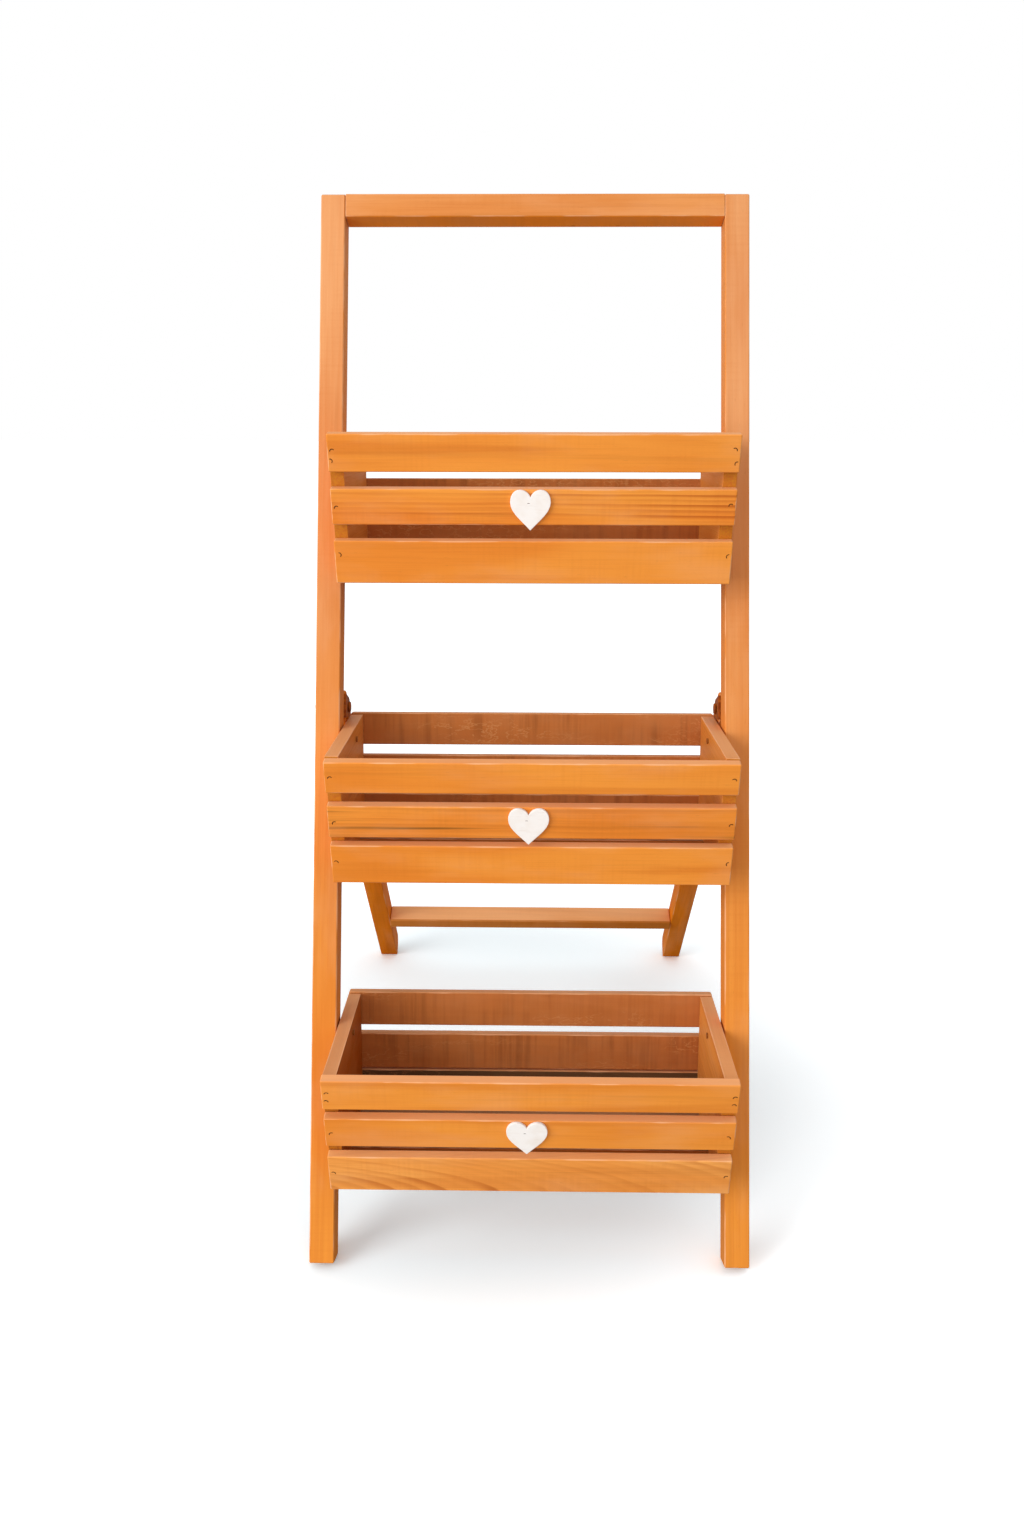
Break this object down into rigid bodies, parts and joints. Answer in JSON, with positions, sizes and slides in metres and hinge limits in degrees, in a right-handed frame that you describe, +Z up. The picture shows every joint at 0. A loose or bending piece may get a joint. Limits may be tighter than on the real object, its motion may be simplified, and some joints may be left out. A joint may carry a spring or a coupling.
{
  "type": "plant ladder stand",
  "caption": "Folding wooden ladder stand with open slatted crates for pot plants hung between two leaning stiles, and a hinged rear frame.",
  "frame": {"origin": "middle of the stand's footprint on the floor", "axes": "+X to the right seen from the front, +Y from the crates' front to the rear legs, +Z up"},
  "size_m": [0.476, 0.74, 1.0709],
  "materials": {
    "stained_pine": "honey stain, satin, on planed softwood",
    "stained_pine_shade": "the same stain on rough-sawn boards, matt",
    "bronzed_steel": "steel with brown bronzed plating, semi-gloss",
    "white_painted_wood": "matt off-white paint"
  },
  "bodies": {
    "front_frame": {"bottom_crate_back_slat_1": "stained_pine_shade", "bottom_crate_back_slat_2": "stained_pine_shade", "bottom_crate_back_slat_3": "stained_pine_shade", "bottom_crate_floor_board_1": "stained_pine_shade", "bottom_crate_floor_board_2": "stained_pine_shade", "bottom_crate_floor_board_3": "stained_pine_shade", "bottom_crate_front_slat_1": "stained_pine", "bottom_crate_front_slat_2": "stained_pine", "bottom_crate_front_slat_3": "stained_pine", "bottom_crate_heart": "white_painted_wood", "bottom_crate_screw_left_lower": "bronzed_steel", "bottom_crate_screw_left_upper": "bronzed_steel", "bottom_crate_screw_right_lower": "bronzed_steel", "bottom_crate_screw_right_upper": "bronzed_steel", "bottom_crate_side_left": "stained_pine_shade", "bottom_crate_side_right": "stained_pine_shade", "fork_bracket_left": "bronzed_steel", "fork_bracket_right": "bronzed_steel", "middle_crate_back_slat_1": "stained_pine_shade", "middle_crate_back_slat_2": "stained_pine_shade", "middle_crate_back_slat_3": "stained_pine_shade", "middle_crate_floor_board_1": "stained_pine_shade", "middle_crate_floor_board_2": "stained_pine_shade", "middle_crate_floor_board_3": "stained_pine_shade", "middle_crate_front_slat_1": "stained_pine", "middle_crate_front_slat_2": "stained_pine", "middle_crate_front_slat_3": "stained_pine", "middle_crate_heart": "white_painted_wood", "middle_crate_screw_left_lower": "bronzed_steel", "middle_crate_screw_left_upper": "bronzed_steel", "middle_crate_screw_right_lower": "bronzed_steel", "middle_crate_screw_right_upper": "bronzed_steel", "middle_crate_side_left": "stained_pine_shade", "middle_crate_side_right": "stained_pine_shade", "pivot_bolt_left": "bronzed_steel", "pivot_bolt_right": "bronzed_steel", "pivot_nut_left": "bronzed_steel", "pivot_nut_right": "bronzed_steel", "stile_left": "stained_pine", "stile_right": "stained_pine", "top_crate_back_slat_1": "stained_pine_shade", "top_crate_back_slat_2": "stained_pine_shade", "top_crate_back_slat_3": "stained_pine_shade", "top_crate_floor_board_1": "stained_pine_shade", "top_crate_floor_board_2": "stained_pine_shade", "top_crate_floor_board_3": "stained_pine_shade", "top_crate_front_slat_1": "stained_pine", "top_crate_front_slat_2": "stained_pine", "top_crate_front_slat_3": "stained_pine", "top_crate_heart": "white_painted_wood", "top_crate_screw_left_lower": "bronzed_steel", "top_crate_screw_left_upper": "bronzed_steel", "top_crate_screw_right_lower": "bronzed_steel", "top_crate_screw_right_upper": "bronzed_steel", "top_crate_side_left": "stained_pine_shade", "top_crate_side_right": "stained_pine_shade", "top_rail": "stained_pine"},
    "rear_frame": {"rear_leg_left": "stained_pine", "rear_leg_right": "stained_pine", "stretcher": "stained_pine"}
  },
  "joints": [
    {"name": "rear_frame_fold", "type": "hinge", "parent": "front_frame", "child": "rear_frame", "pos_m": [0, -0.08996, 0.54144], "axis": [-1, 0, 0], "range_deg": [0, 61]}
  ]
}
